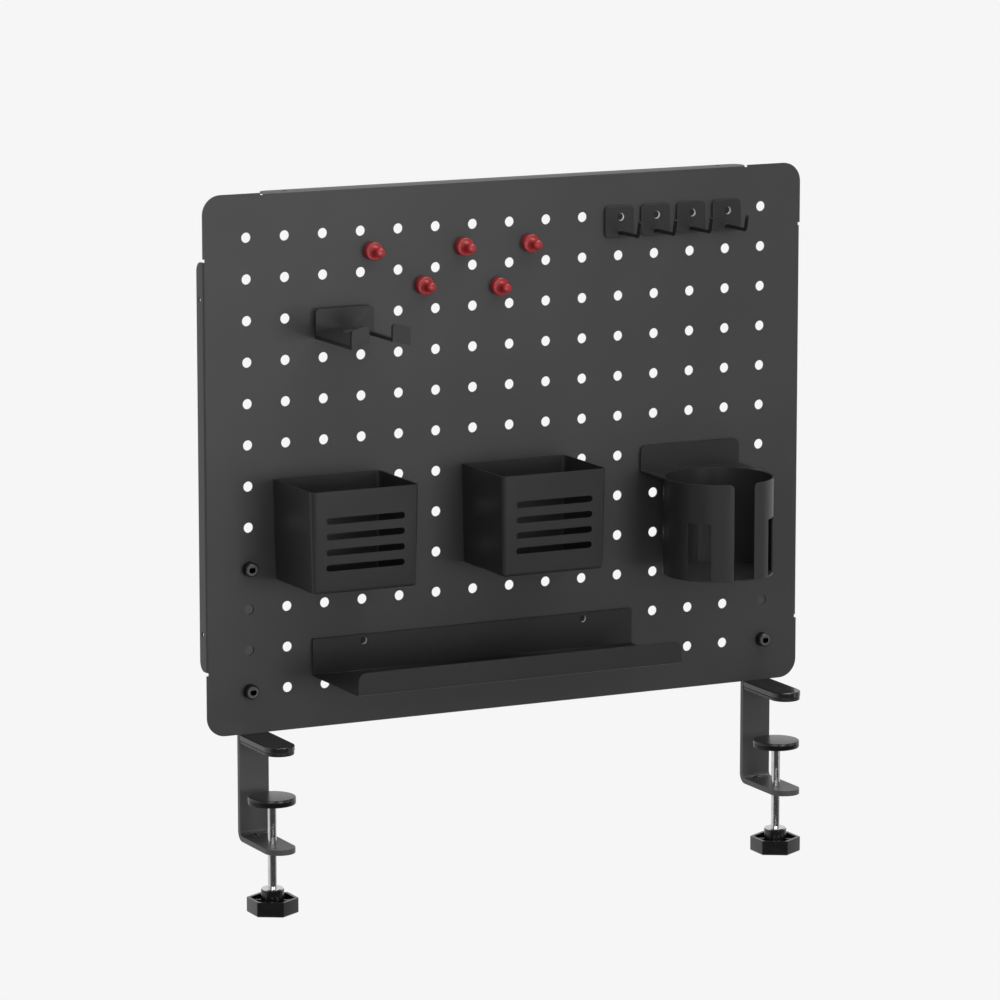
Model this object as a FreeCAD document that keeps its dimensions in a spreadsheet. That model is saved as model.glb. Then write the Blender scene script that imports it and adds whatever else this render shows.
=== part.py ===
# Clamp-on pegboard desk organizer: a perforated steel panel on two screw clamps, with magnetic bins,
# a cup holder, a tray, a headphone hanger, hooks and push pins on its front.
# Millimetres, +Z up, -Y towards the person at the desk. The origin is on the desk top's plane,
# midway along the panel and in line with its front face.
import FreeCAD, Part
import Sketcher
import math
import os

Vector = FreeCAD.Vector
doc = FreeCAD.newDocument("pegboard_desk_organizer")
sheet = doc.addObject("Spreadsheet::Sheet", "dims")


class Size(float):
    """A length that also carries the spreadsheet expression it is worked out by."""

    def __new__(cls, number, text):
        size = super().__new__(cls, number)
        size.text = text
        return size

    def __add__(self, other):
        return Size(float(self) + float(other), f"({self.text} + {words(other)})")

    def __radd__(self, other):
        return Size(float(other) + float(self), f"({words(other)} + {self.text})")

    def __sub__(self, other):
        return Size(float(self) - float(other), f"({self.text} - {words(other)})")

    def __rsub__(self, other):
        return Size(float(other) - float(self), f"({words(other)} - {self.text})")

    def __mul__(self, other):
        return Size(float(self) * float(other), f"({self.text} * {words(other)})")

    def __rmul__(self, other):
        return Size(float(other) * float(self), f"({words(other)} * {self.text})")

    def __truediv__(self, other):
        return Size(float(self) / float(other), f"({self.text} / {words(other)})")

    def __neg__(self):
        return Size(-float(self), f"(-1 * {self.text})")


def words(value):
    return value.text if isinstance(value, Size) else repr(float(value))


dimensions = {
    # panel
    "pegPitch": 37.0,
    "pegColumns": 15,
    "pegRows": 12,
    "pegHole": 9.2,
    "sheetThickness": 1.5,
    "sideMargin": 41.5,
    "endMargin": 38.9,
    "panelCorner": 17.5,
    "flangeDepth": 15.0,
    "bendRadius": 2.0,
    "sideFlangeLength": 367.0,
    "topFlangeLength": 484.0,
    "reliefWidth": 3.0,
    "flangeCorner": 9.0,
    "flangeHole": 4.5,
    "sideFlangeHoleSpacing": 300.0,
    "topFlangeHoleSpacing": 436.0,
    "clampHoleRows": 4,
    "rightHoleShift": 4.7,
    # clamps
    "leftClampInset": 4.3,
    "rightClampInset": 4.0,
    "barWidth": 28.6,
    "barThickness": 5.0,
    "barTopMargin": 16.0,
    "barBendRadius": 4.0,
    "barCorner": 4.0,
    "jawThickness": 5.5,
    "jawPadThickness": 3.0,
    "jawPadInset": 0.4,
    "jawReach": 66.5,
    "jawOpening": 84.3,
    "boltThread": 8.0,
    "boltLength": 10.0,
    "boltHead": 13.0,
    "boltHeadHeight": 8.0,
    "boltSocket": 6.0,
    "boltSocketDepth": 4.0,
    "studHead": 7.0,
    "studHeadHeight": 2.6,
    "studShank": 4.0,
    "studSetback": 7.0,
    "studOffset": 2.8,
    # clamp screw, disc and knob
    "deskGap": 41.5,
    "screwSetback": 36.5,
    "screwThread": 8.0,
    "runningClearance": 0.05,
    "discRadius": 21.5,
    "discThickness": 4.2,
    "discPadThickness": 2.4,
    "discEdge": 0.8,
    "swivelNeck": 5.4,
    "swivelHeadThickness": 1.0,
    "swivelPocketDepth": 1.4,
    "screwLength": 76.9,
    "collarRadius": 9.6,
    "collarThickness": 1.6,
    "hubRadius": 10.35,
    "hubHeight": 21.0,
    "knobCorners": 46.9,
    "knobHeight": 13.5,
    "knobFloor": 2.5,
    "knobWall": 3.4,
    "knobRib": 2.4,
    "knobRibDrop": 2.0,
    "knobEdge": 1.6,
    # pen boxes
    "penBoxWidth": 105.0,
    "penBoxDepth": 82.0,
    "penBoxHeight": 91.5,
    "penBoxTaper": 2.2,
    "penBoxWall": 1.2,
    "penBoxCorner": 5.5,
    "penBoxTop": 237.7,
    "penBoxLeft": -183.0,
    "penBoxRight": 3.5,
    "slotLength": 76.2,
    "slotHeight": 6.0,
    "slotSpacing": 14.0,
    "slotCount": 4,
    "slotTop": 26.5,
    # cup holder
    "cupRadius": 50.4,
    "cupWall": 1.5,
    "cupSetback": 61.0,
    "cupHeight": 89.5,
    "cupRim": 217.2,
    "cupCentre": 182.9,
    "cupPlateWidth": 103.0,
    "cupPlateShift": 1.8,
    "cupPlateRise": 23.0,
    "cupPlateCorner": 6.0,
    "cupSlotWidth": 20.9,
    "cupSlotCorner": 4.0,
    "cupWindowNear": 36.0,
    "cupWindowFar": 63.0,
    "cupWindowDrop": 36.0,
    "cupWindowCorner": 3.0,
    # tray
    "trayLength": 323.0,
    "trayPlateHeight": 34.0,
    "trayDepth": 100.0,
    "trayLip": 20.5,
    "traySheet": 1.2,
    "trayBend": 1.6,
    "trayLipCorner": 8.0,
    "trayPlateCorner": 2.0,
    "trayHole": 6.6,
    "trayDrop": 0.5,
    "trayHoleDrop": 5.8,
    "trayFirstColumn": 3,
    "trayLastColumn": 9,
    "trayRow": 10,
    # headphone hanger
    "hangerCentre": -166.8,
    "hangerWidth": 57.0,
    "hangerPlateTop": 388.0,
    "hangerPlateHeight": 24.5,
    "hangerPlateThickness": 3.0,
    "hangerPlateCorner": 4.0,
    "hangerReach": 82.0,
    "saddleCrown": 119.0,
    "saddleThickness": 3.2,
    "saddleRadius": 80.0,
    "hangerGap": 22.5,
    "hangerGapCorner": 6.0,
    "hangerGapStart": 12.0,
    "hangerTabHeight": 13.0,
    "hangerTabCorner": 3.0,
    # hooks
    "hookFirstColumn": 10,
    "hookCount": 4,
    "hookPlateWidth": 29.5,
    "hookPlateHeight": 28.5,
    "hookPlateCorner": 4.0,
    "hookPlateThickness": 1.5,
    "hookHole": 7.0,
    "hookHoleDrop": 9.8,
    "hookHoleShift": 1.2,
    "hookShift": 0.6,
    "hookTop": 462.7,
    "hookRod": 3.5,
    "hookRodDrop": 23.8,
    "hookReach": 39.0,
    "hookRise": 13.5,
    "hookLean": 3.5,
    "hookBend": 3.0,
    # magnets behind the accessories
    "magnetThickness": 2.0,
    "hangerMagnet": 4.0,
    "magnetBar": 14.0,
    "magnetInset": 6.0,
    # push pins
    "pinRadius": 8.2,
    "pinBase": 8.0,
    "pinFoot": 2.5,
    "pinFootEdge": 0.4,
    "pinNeck": 3.2,
    "pinHead": 4.4,
    "pinLength": 21.3,
    "pinEdge": 1.0,
    "pinMagnetRadius": 6.0,
    "pinMagnetDepth": 4.0,
}


class Sizes:
    """The spreadsheet's values by name."""


dim = Sizes()
for row, (name, value) in enumerate(dimensions.items(), 1):
    sheet.set(f"A{row}", name)
    sheet.set(f"B{row}", str(value))
    sheet.setAlias(f"B{row}", name)
    setattr(dim, name, Size(value, f"dims.{name}"))


# ---- modelling helpers -------------------------------------------------------------------------


def bind(thing, prop, value):
    """Set a property from a plain number, or bind it to the spreadsheet."""
    if isinstance(value, Size):
        thing.setExpression(prop, value.text)
    else:
        setattr(thing, prop, value)


def newBody(label, x=0, y=0, z=0):
    body = doc.addObject("PartDesign::Body", label)
    body.Label = label
    place(body, x, y, z)
    return body


def place(thing, x=0, y=0, z=0):
    thing.Placement = FreeCAD.Placement(Vector(float(x), float(y), float(z)), FreeCAD.Rotation())
    for axis, value in zip("xyz", (x, y, z)):
        if isinstance(value, Size):
            thing.setExpression(f"Placement.Base.{axis}", value.text)


def sketchOn(body, plane, name, offset=0):
    """A sketch on one of the body's origin planes, moved along the plane's normal by offset."""
    sketch = body.newObject("Sketcher::SketchObject", name)
    support = [part for part in body.Origin.OriginFeatures if part.Role == plane + "_Plane"][0]
    sketch.AttachmentSupport = (support, [""])
    sketch.MapMode = "FlatFace"
    sketch.AttachmentOffset = FreeCAD.Placement(Vector(0, 0, float(offset)), FreeCAD.Rotation())
    if isinstance(offset, Size):
        sketch.setExpression("AttachmentOffset.Base.z", offset.text)
    return sketch


def constrain(sketch, kind, geometry, *rest):
    """Add a dimension whose last value is bound to the spreadsheet."""
    value = rest[-1]
    index = sketch.addConstraint(Sketcher.Constraint(kind, geometry, *rest[:-1], float(value)))
    if isinstance(value, Size):
        sketch.setExpression(f"Constraints[{index}]", value.text)


def lock(sketch, geometry, point, x, y):
    """Hold a point at x, y of the sketch; a plain 0 puts it on the axis."""
    for kind, axis, value in (("DistanceX", -2, x), ("DistanceY", -1, y)):
        if isinstance(value, Size) or value:
            constrain(sketch, kind, geometry, point, value)
        else:
            sketch.addConstraint(Sketcher.Constraint("PointOnObject", geometry, point, axis))


def circle(sketch, x, y, radius):
    centre = Vector(float(x), float(y), 0)
    index = sketch.addGeometry(Part.Circle(centre, Vector(0, 0, 1), float(radius)), False)
    lock(sketch, index, 3, x, y)
    constrain(sketch, "Radius", index, radius)
    return index


def arcBetween(sketch, start, end, centre, radius):
    """An anticlockwise arc from start to end; the ends are locked and the radius is bound."""
    base = Part.Circle(Vector(float(centre[0]), float(centre[1]), 0), Vector(0, 0, 1), float(radius))
    first = math.atan2(start[1] - centre[1], start[0] - centre[0])
    last = math.atan2(end[1] - centre[1], end[0] - centre[0])
    return sketch.addGeometry(Part.ArcOfCircle(base, first, last), False)


def outline(sketch, corners):
    """A closed outline through corners (x, y) or (x, y, radius), given anticlockwise or clockwise.

    A rounded corner lies between two lines that run along the sketch's axes.
    """
    count = len(corners)
    entries, exits = [], []
    for i, corner in enumerate(corners):
        x, y = corner[0], corner[1]
        if len(corner) == 2:
            entries.append((x, y))
            exits.append((x, y))
            continue
        radius = corner[2]
        for other, ends in ((corners[i - 1], entries), (corners[(i + 1) % count], exits)):
            dx, dy = float(other[0]) - float(x), float(other[1]) - float(y)
            if abs(dx) > abs(dy):
                ends.append((x + radius if dx > 0 else x - radius, y))
            else:
                ends.append((x, y + radius if dy > 0 else y - radius))
    lines = []
    for i in range(count):
        start, end = exits[i], entries[(i + 1) % count]
        segment = Part.LineSegment(Vector(float(start[0]), float(start[1]), 0),
                                   Vector(float(end[0]), float(end[1]), 0))
        lines.append(sketch.addGeometry(segment, False))
    for i in range(count):
        before, after = lines[i - 1], lines[i]
        lock(sketch, after, 1, *exits[i])
        if len(corners[i]) == 2:
            sketch.addConstraint(Sketcher.Constraint("Coincident", before, 2, after, 1))
            continue
        lock(sketch, before, 2, *entries[i])
        start, end, radius = entries[i], exits[i], corners[i][2]
        x, y = corners[i][0], corners[i][1]
        centre = (float(start[0]) + float(end[0]) - float(x), float(start[1]) + float(end[1]) - float(y))
        turn = ((float(x) - float(start[0])) * (float(end[1]) - float(y))
                - (float(y) - float(start[1])) * (float(end[0]) - float(x)))
        if turn > 0:
            arc, ends = arcBetween(sketch, start, end, centre, radius), (1, 2)
        else:
            arc, ends = arcBetween(sketch, end, start, centre, radius), (2, 1)
        sketch.addConstraint(Sketcher.Constraint("Coincident", arc, ends[0], before, 2))
        sketch.addConstraint(Sketcher.Constraint("Coincident", arc, ends[1], after, 1))
        constrain(sketch, "Radius", arc, radius)


def rectangle(sketch, left, right, bottom, top, radius=None):
    corners = [(left, bottom), (right, bottom), (right, top), (left, top)]
    if radius is not None:
        corners = [corner + (radius,) for corner in corners]
    outline(sketch, corners)


def extrude(body, kind, sketch, length, name, back=False, middle=False):
    """A pad or pocket; a pocket with no length goes through everything."""
    feature = body.newObject("PartDesign::" + kind, name)
    feature.Profile = sketch
    if length is None:
        feature.Type = "ThroughAll"
    else:
        bind(feature, "Length", length)
    feature.Reversed = back
    feature.SideType = "Symmetric" if middle else "One side"
    body.Tip = feature
    return feature


def pad(body, sketch, length, name, back=False, middle=False):
    return extrude(body, "Pad", sketch, length, name, back, middle)


def pocket(body, sketch, length, name, back=False, middle=False):
    """A cut that has to take material away, or the build stops."""
    doc.recompute()
    before = body.Shape.Volume
    feature = extrude(body, "Pocket", sketch, length, name, back, middle)
    doc.recompute()
    if not body.Shape.Volume < before:
        raise RuntimeError(f"{name} cuts nothing from {body.Label}")
    return feature


def revolve(body, sketch, name):
    feature = body.newObject("PartDesign::Revolution", name)
    feature.Profile = sketch
    feature.ReferenceAxis = (sketch, ["V_Axis"])
    feature.Angle = 360
    body.Tip = feature
    return feature


def roundEdges(body, radius, choose, name, kind="Fillet"):
    """Round or chamfer the edges of the body's last feature that choose picks."""
    doc.recompute()
    last = body.Tip
    names = [f"Edge{i}" for i, edge in enumerate(last.Shape.Edges, 1) if choose(edge)]
    if not names:
        raise RuntimeError(f"{name} finds no edge on {body.Label}")
    feature = body.newObject("PartDesign::" + kind, name)
    feature.Base = (last, names)
    bind(feature, "Radius" if kind == "Fillet" else "Size", radius)
    body.Tip = feature
    return feature


def rowPattern(body, feature, sketch, name, across=None, up=None):
    """Repeat a feature along the sketch's axes; across and up are (count, spacing)."""
    pattern = body.newObject("PartDesign::LinearPattern", name)
    pattern.Originals = [feature]
    pattern.Direction = (sketch, ["H_Axis"])
    pattern.Direction2 = (sketch, ["V_Axis"])
    for suffix, row in (("", across), ("2", up)):
        if row:
            bind(pattern, "Occurrences" + suffix, row[0])
            bind(pattern, "Length" + suffix, (row[0] - 1) * row[1])
        else:
            setattr(pattern, "Occurrences" + suffix, 1)
    body.Tip = pattern
    return pattern


def isAlong(edge, direction):
    """True for a straight edge that runs along the direction."""
    if edge.Curve.TypeId != "Part::GeomLine":
        return False
    return abs(abs(edge.Curve.Direction.dot(direction)) - 1) < 1e-6


def near(value, target):
    return abs(float(value) - float(target)) < 1e-3


xAxis, yAxis, zAxis = Vector(1, 0, 0), Vector(0, 1, 0), Vector(0, 0, 1)

# ---- places that several pieces share ----------------------------------------------------------

panelWidth = (dim.pegColumns - 1) * dim.pegPitch + dim.sideMargin * 2
panelHeight = (dim.pegRows - 1) * dim.pegPitch + dim.endMargin * 2
panelBottom = dim.jawThickness + dim.jawPadThickness
panelMiddle = panelBottom + panelHeight / 2
lastColumn = (dim.pegColumns - 1) * dim.pegPitch / 2
lowestRow = panelMiddle - (dim.pegRows - 1) * dim.pegPitch / 2
barFront = dim.sheetThickness
boltX = {"left": -lastColumn, "right": lastColumn + dim.rightHoleShift}
clampX = {"left": boltX["left"] + dim.leftClampInset, "right": boltX["right"] - dim.rightClampInset}
boltSpan = (dim.clampHoleRows - 1) * dim.pegPitch
jawRadius = dim.barWidth / 2
tipCentre = -(dim.jawReach - jawRadius)
lowerJawTop = -dim.jawOpening
discTop = -dim.deskGap
discBottom = discTop - dim.discPadThickness - dim.discThickness
screwRadius = dim.screwThread / 2
screwY = -dim.screwSetback
collarTop = discBottom - dim.screwLength
hubTop = collarTop - dim.collarThickness
plateBack = -dim.magnetThickness


def columnX(column):
    return (column - (dim.pegColumns - 1) / 2) * dim.pegPitch


def rowZ(row):
    return panelMiddle + ((dim.pegRows - 1) / 2 - row) * dim.pegPitch


# ---- panel -------------------------------------------------------------------------------------


def pegboardPanel():
    """One folded sheet: a perforated face with rounded corners and three flanges bent back."""
    body = newBody("pegboard_panel", 0, 0, panelMiddle)
    halfWidth, halfHeight = panelWidth / 2, panelHeight / 2
    sideCut = dim.sideFlangeLength / 2 + dim.reliefWidth
    topCut = dim.topFlangeLength / 2 + dim.reliefWidth
    innerX, innerZ = halfWidth - dim.bendRadius, halfHeight - dim.bendRadius

    face = sketchOn(body, "XZ", "face_outline")
    outline(face, [
        (halfWidth, -halfHeight, dim.panelCorner), (halfWidth, -sideCut), (innerX, -sideCut),
        (innerX, sideCut), (halfWidth, sideCut), (halfWidth, halfHeight, dim.panelCorner),
        (topCut, halfHeight), (topCut, innerZ), (-topCut, innerZ), (-topCut, halfHeight),
        (-halfWidth, halfHeight, dim.panelCorner), (-halfWidth, sideCut), (-innerX, sideCut),
        (-innerX, -sideCut), (-halfWidth, -sideCut), (-halfWidth, -halfHeight, dim.panelCorner)])
    pad(body, face, dim.sheetThickness, "face", back=True)

    holes = {
        "peg": (-lastColumn, -(dim.pegRows - 1) * dim.pegPitch / 2,
                (dim.pegColumns - 1, dim.pegPitch), (dim.pegRows, dim.pegPitch)),
        "end_peg": (lastColumn, (dim.clampHoleRows - (dim.pegRows - 1) / 2) * dim.pegPitch,
                    None, (dim.pegRows - dim.clampHoleRows, dim.pegPitch)),
        "clamp": (boltX["right"], -(dim.pegRows - 1) * dim.pegPitch / 2,
                  None, (dim.clampHoleRows, dim.pegPitch))}
    for name, (x, z, across, up) in holes.items():
        sketch = sketchOn(body, "XZ", name + "_hole_outline")
        circle(sketch, x, z, dim.pegHole / 2)
        hole = pocket(body, sketch, dim.sheetThickness * 2, name + "_hole", middle=True)
        rowPattern(body, hole, sketch, name + "_holes", across, up)

    bend, inside = dim.bendRadius, dim.bendRadius - dim.sheetThickness
    for name, sign in (("left", -1), ("right", 1)):
        sketch = sketchOn(body, "XY", name + "_flange_profile")
        flangeProfile(sketch, halfWidth, innerX, sign, bend, inside, False)
        pad(body, sketch, dim.sideFlangeLength, name + "_flange", middle=True)
    sketch = sketchOn(body, "YZ", "top_flange_profile")
    flangeProfile(sketch, halfHeight, innerZ, 1, bend, inside, True)
    pad(body, sketch, dim.topFlangeLength, "top_flange", middle=True)

    def freeCorner(edge):
        middle = edge.CenterOfMass
        atSide = isAlong(edge, xAxis) and near(abs(middle.z), dim.sideFlangeLength / 2)
        atTop = isAlong(edge, zAxis) and near(abs(middle.x), dim.topFlangeLength / 2)
        return near(middle.y, dim.flangeDepth) and (atSide or atTop)

    roundEdges(body, dim.flangeCorner, freeCorner, "flange_corners")

    middleY = (dim.flangeDepth + dim.bendRadius) / 2
    sketch = sketchOn(body, "YZ", "side_fixing_holes_outline")
    for sign in (-1, 1):
        circle(sketch, middleY, sign * dim.sideFlangeHoleSpacing / 2, dim.flangeHole / 2)
    pocket(body, sketch, panelWidth * 1.1, "side_fixing_holes", middle=True)
    sketch = sketchOn(body, "XY", "top_fixing_holes_outline", halfHeight)
    for sign in (-1, 1):
        circle(sketch, sign * dim.topFlangeHoleSpacing / 2, middleY, dim.flangeHole / 2)
    pocket(body, sketch, dim.sheetThickness * 3, "top_fixing_holes", middle=True)
    return body


def flangeProfile(sketch, edge, inner, sign, bend, inside, upright):
    """The folded edge's section: a quarter bend from the face, then a straight leg back."""
    def point(along, depth):
        return (depth, along) if upright else (sign * along, depth)

    thickness = dim.sheetThickness
    points = [point(inner, 0), point(edge, bend), point(edge, dim.flangeDepth),
              point(edge - thickness, dim.flangeDepth), point(edge - thickness, bend),
              point(inner, thickness)]
    kinds = ["outer", "line", "line", "line", "inner", "line"]
    centre = point(inner, bend)
    made = []
    for i, kind in enumerate(kinds):
        start, end = points[i], points[(i + 1) % len(points)]
        if kind == "line":
            segment = Part.LineSegment(Vector(float(start[0]), float(start[1]), 0),
                                       Vector(float(end[0]), float(end[1]), 0))
            made.append((sketch.addGeometry(segment, False), 1, 2))
            continue
        cross = ((float(start[0]) - float(centre[0])) * (float(end[1]) - float(centre[1]))
                 - (float(start[1]) - float(centre[1])) * (float(end[0]) - float(centre[0])))
        radius = bend if kind == "outer" else inside
        if cross > 0:
            made.append((arcBetween(sketch, start, end, centre, radius), 1, 2))
        else:
            made.append((arcBetween(sketch, end, start, centre, radius), 2, 1))
    for i, kind in enumerate(kinds):
        geometry, first, last = made[i]
        following, nextFirst, _ = made[(i + 1) % len(kinds)]
        lock(sketch, geometry, first, *points[i])
        sketch.addConstraint(Sketcher.Constraint("Coincident", geometry, last, following, nextFirst))
        if kind != "line":
            constrain(sketch, "Radius", geometry, bend if kind == "outer" else inside)


# ---- clamps ------------------------------------------------------------------------------------


def clampBracket(side):
    """A flat bar behind the panel, bent forward at its foot into the lower jaw."""
    body = newBody("clamp_bracket_" + side, clampX[side])
    barTop = lowestRow + boltSpan + dim.barTopMargin
    back, front = barFront + dim.barThickness, barFront
    jawBottom = lowerJawTop - dim.barThickness
    outer = dim.barBendRadius + dim.barThickness
    section = sketchOn(body, "YZ", "bar_section")
    outline(section, [(front, barTop), (front, lowerJawTop, dim.barBendRadius),
                      (tipCentre, lowerJawTop), (tipCentre, jawBottom),
                      (back, jawBottom, outer), (back, barTop)])
    pad(body, section, dim.barWidth, "bar", middle=True)
    tip = sketchOn(body, "XY", "jaw_tip_outline", jawBottom)
    circle(tip, 0, tipCentre, jawRadius)
    pad(body, tip, dim.barThickness, "jaw_tip")

    def topCorner(edge):
        return isAlong(edge, yAxis) and near(edge.CenterOfMass.z, barTop)

    roundEdges(body, dim.barCorner, topCorner, "bar_corners")
    screwHole = sketchOn(body, "XY", "screw_hole_outline", jawBottom)
    circle(screwHole, 0, screwY, screwRadius + dim.runningClearance)
    pocket(body, screwHole, dim.barThickness * 3, "screw_hole", middle=True)
    studHole = sketchOn(body, "XY", "stud_hole_outline", jawBottom)
    circle(studHole, -dim.studOffset, -dim.studSetback, dim.studShank / 2)
    pocket(body, studHole, dim.barThickness * 3, "stud_hole", middle=True)
    boltHoles = sketchOn(body, "XZ", "bolt_holes_outline")
    for z in (lowestRow, lowestRow + boltSpan):
        circle(boltHoles, boltX[side] - clampX[side], z, dim.boltThread / 2 + dim.runningClearance)
    pocket(body, boltHoles, (barFront + dim.barThickness) * 3, "bolt_holes", middle=True)
    return body


def tongue(label, side, bottom, thickness, inset):
    """A strip with a half-round end, from the bar's face forward."""
    body = newBody(label + side, clampX[side], 0, bottom)
    half = jawRadius - inset
    strip = sketchOn(body, "XY", "strip_outline")
    outline(strip, [(half, tipCentre), (half, barFront), (-half, barFront), (-half, tipCentre)])
    pad(body, strip, thickness, "strip")
    tip = sketchOn(body, "XY", "tip_outline")
    circle(tip, 0, tipCentre, half)
    pad(body, tip, thickness, "tip")
    return body


def clampBolts(side):
    """Socket cap screws through the panel into the bar, as a group."""
    thread, head = dim.boltThread / 2, dim.boltHead / 2
    screws = []
    for place_, z in (("lower", lowestRow), ("upper", lowestRow + boltSpan)):
        shank = doc.addObject("Part::Cylinder", f"{place_}_shank_{side}")
        bind(shank, "Radius", thread)
        bind(shank, "Height", dim.boltLength)
        cap = doc.addObject("Part::Cylinder", f"{place_}_cap_{side}")
        bind(cap, "Radius", head)
        bind(cap, "Height", dim.boltHeadHeight)
        place(cap, 0, 0, -dim.boltHeadHeight)
        solid = doc.addObject("Part::Fuse", f"{place_}_screw_{side}")
        solid.Base, solid.Tool = shank, cap
        socket = doc.addObject("Part::Prism", f"{place_}_socket_{side}")
        socket.Polygon = 6
        bind(socket, "Circumradius", dim.boltSocket / math.sqrt(3))
        bind(socket, "Height", dim.boltSocketDepth)
        place(socket, 0, 0, -dim.boltHeadHeight)
        screw = doc.addObject("Part::Cut", f"{place_}_bolt_{side}")
        screw.Base, screw.Tool = solid, socket
        screw.Placement = FreeCAD.Placement(Vector(), FreeCAD.Rotation(xAxis, -90))
        screw.setExpression("Placement.Base.x", boltX[side].text)
        screw.setExpression("Placement.Base.z", z.text)
        screws.append(screw)
    group = doc.addObject("Part::Compound", "clamp_bolts_" + side)
    group.Label = "clamp_bolts_" + side
    group.Links = screws
    return group


def jawStud(side):
    """A small domed screw in the lower jaw, close to its bend."""
    body = newBody("jaw_stud_" + side, clampX[side] - dim.studOffset, -dim.studSetback, lowerJawTop)
    head, shank, rise = dim.studHead / 2, dim.studShank / 2, dim.studHeadHeight
    shoulder = rise * 0.35
    crown = sketchOn(body, "XZ", "stud_section")
    outline(crown, [(0, -dim.barThickness), (shank, -dim.barThickness), (shank, 0), (head, 0),
                    (head, shoulder), (head * 0.72, rise * 0.85), (0, rise)])
    revolve(body, crown, "stud")
    return body


# ---- clamp screw, disc and knob ----------------------------------------------------------------


def pressureDisc(side):
    """A steel disc that swivels on the screw's riveted end."""
    body = newBody("pressure_disc_" + side, clampX[side], screwY, discBottom)
    neck = dim.swivelNeck / 2 + dim.runningClearance
    pocketRadius = screwRadius + dim.runningClearance
    pocketFloor = dim.discThickness - dim.swivelPocketDepth
    edge = dim.discEdge
    section = sketchOn(body, "XZ", "disc_section")
    outline(section, [(neck, 0), (dim.discRadius - edge, 0), (dim.discRadius, edge),
                      (dim.discRadius, dim.discThickness), (pocketRadius, dim.discThickness),
                      (pocketRadius, pocketFloor), (neck, pocketFloor)])
    revolve(body, section, "disc")
    return body


def discPad(side):
    """A thin pad over the disc, with an eased upper edge."""
    body = newBody("disc_pad_" + side, clampX[side], screwY, discTop - dim.discPadThickness)
    edge = dim.discEdge
    section = sketchOn(body, "XZ", "pad_section")
    outline(section, [(0, 0), (dim.discRadius, 0), (dim.discRadius, dim.discPadThickness - edge),
                      (dim.discRadius - edge, dim.discPadThickness), (0, dim.discPadThickness)])
    revolve(body, section, "pad")
    return body


def clampScrew(side):
    """The threaded rod: plain shank, swivel neck and the riveted head inside the disc."""
    body = newBody("clamp_screw_" + side, clampX[side], screwY, discBottom)
    neck = dim.swivelNeck / 2
    floor = dim.discThickness - dim.swivelPocketDepth
    headBottom = floor + dim.runningClearance
    headTop = headBottom + dim.swivelHeadThickness
    foot = -(dim.screwLength + dim.collarThickness + dim.hubHeight - dim.knobFloor)
    shoulder = -dim.runningClearance
    section = sketchOn(body, "XZ", "screw_section")
    outline(section, [(0, foot), (screwRadius, foot), (screwRadius, shoulder), (neck, shoulder),
                      (neck, headBottom), (screwRadius, headBottom), (screwRadius, headTop),
                      (0, headTop)])
    revolve(body, section, "screw")
    return body


def knobCollar(side):
    """A bright washer between the hub's top and the open air."""
    body = newBody("knob_collar_" + side, clampX[side], screwY, hubTop)
    section = sketchOn(body, "XY", "collar_outline")
    circle(section, 0, 0, dim.collarRadius)
    circle(section, 0, 0, screwRadius)
    pad(body, section, dim.collarThickness, "collar")
    return body


def hexagon(sketch, circumradius):
    """A hexagon with one corner towards the front."""
    halfSide, rise = circumradius / 2, circumradius * (math.sqrt(3) / 2)
    outline(sketch, [(0, -circumradius), (rise, -halfSide), (rise, halfSide), (0, circumradius),
                     (-rise, halfSide), (-rise, -halfSide)])


def clampKnob(side):
    """A hub inside a hexagonal ring, joined by ribs to its corners and by a floor."""
    body = newBody("clamp_knob_" + side, clampX[side], screwY, hubTop - dim.hubHeight)
    corners = dim.knobCorners / 2
    ring = sketchOn(body, "XY", "ring_outline")
    hexagon(ring, corners)
    pad(body, ring, dim.knobHeight, "ring")

    def ringCorner(edge):
        return isAlong(edge, zAxis)

    roundEdges(body, dim.knobEdge, ringCorner, "ring_corners")

    def ringRim(edge):
        return near(edge.BoundBox.ZMin, 0) and near(edge.BoundBox.ZMax, 0)

    roundEdges(body, dim.knobEdge / 2, ringRim, "ring_foot", "Chamfer")
    well = sketchOn(body, "XY", "well_outline", dim.knobFloor)
    hexagon(well, corners - dim.knobWall)
    pocket(body, well, dim.knobHeight, "well", back=True)
    hub = sketchOn(body, "XY", "hub_outline")
    circle(hub, 0, 0, dim.hubRadius)
    pad(body, hub, dim.hubHeight, "hub")
    rib = sketchOn(body, "XY", "rib_outline")
    half = dim.knobRib / 2
    outline(rib, [(half, -(corners - dim.knobWall / 2)), (half, -dim.hubRadius / 2),
                  (-half, -dim.hubRadius / 2), (-half, -(corners - dim.knobWall / 2))])
    ribs = pad(body, rib, dim.knobHeight - dim.knobRibDrop, "rib")
    around = body.newObject("PartDesign::PolarPattern", "ribs")
    around.Originals = [ribs]
    around.Axis = (rib, ["N_Axis"])
    around.Angle = 360
    around.Occurrences = 6
    body.Tip = around
    bore = sketchOn(body, "XY", "bore_outline", dim.knobFloor)
    circle(bore, 0, 0, screwRadius)
    pocket(body, bore, dim.hubHeight, "bore", back=True)
    return body


# ---- pen boxes ---------------------------------------------------------------------------------


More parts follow.
